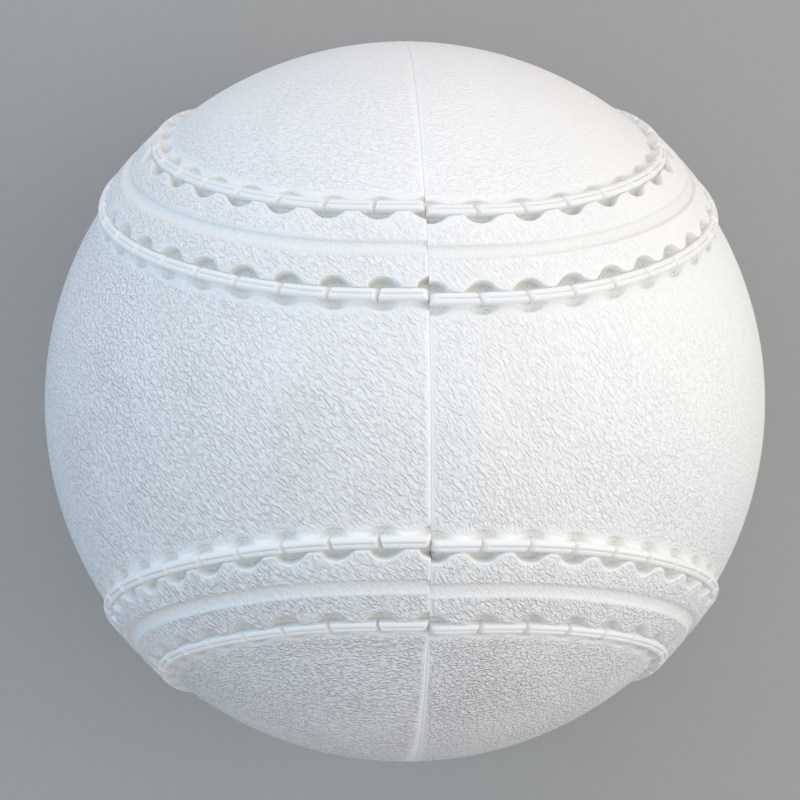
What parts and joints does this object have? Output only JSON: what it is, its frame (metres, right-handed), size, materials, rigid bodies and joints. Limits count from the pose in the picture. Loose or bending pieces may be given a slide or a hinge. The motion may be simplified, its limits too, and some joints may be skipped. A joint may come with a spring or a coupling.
{
  "type": "softball",
  "caption": "Moulded-rubber softball: a cork core in a two-piece white rubber cover with a raised band of moulded stitch bars along the seam line.",
  "frame": {"origin": "centre of the ball", "axes": "+Z passes through the middle of the narrow waist of one seam panel and -Z through the waist of the other; the cover halves part on the plane X = 0; Y = 0 is the other plane that the seam line crosses squarely"},
  "size_m": [0.0964, 0.0964, 0.0964],
  "materials": {
    "white_rubber": "satin moulded rubber with a fine leather-like grain",
    "cork": "rough agglomerated cork"
  },
  "bodies": {
    "root": {"core_cork": "cork", "cover_half_right": "white_rubber", "cover_half_left": "white_rubber"}
  },
  "joints": []
}
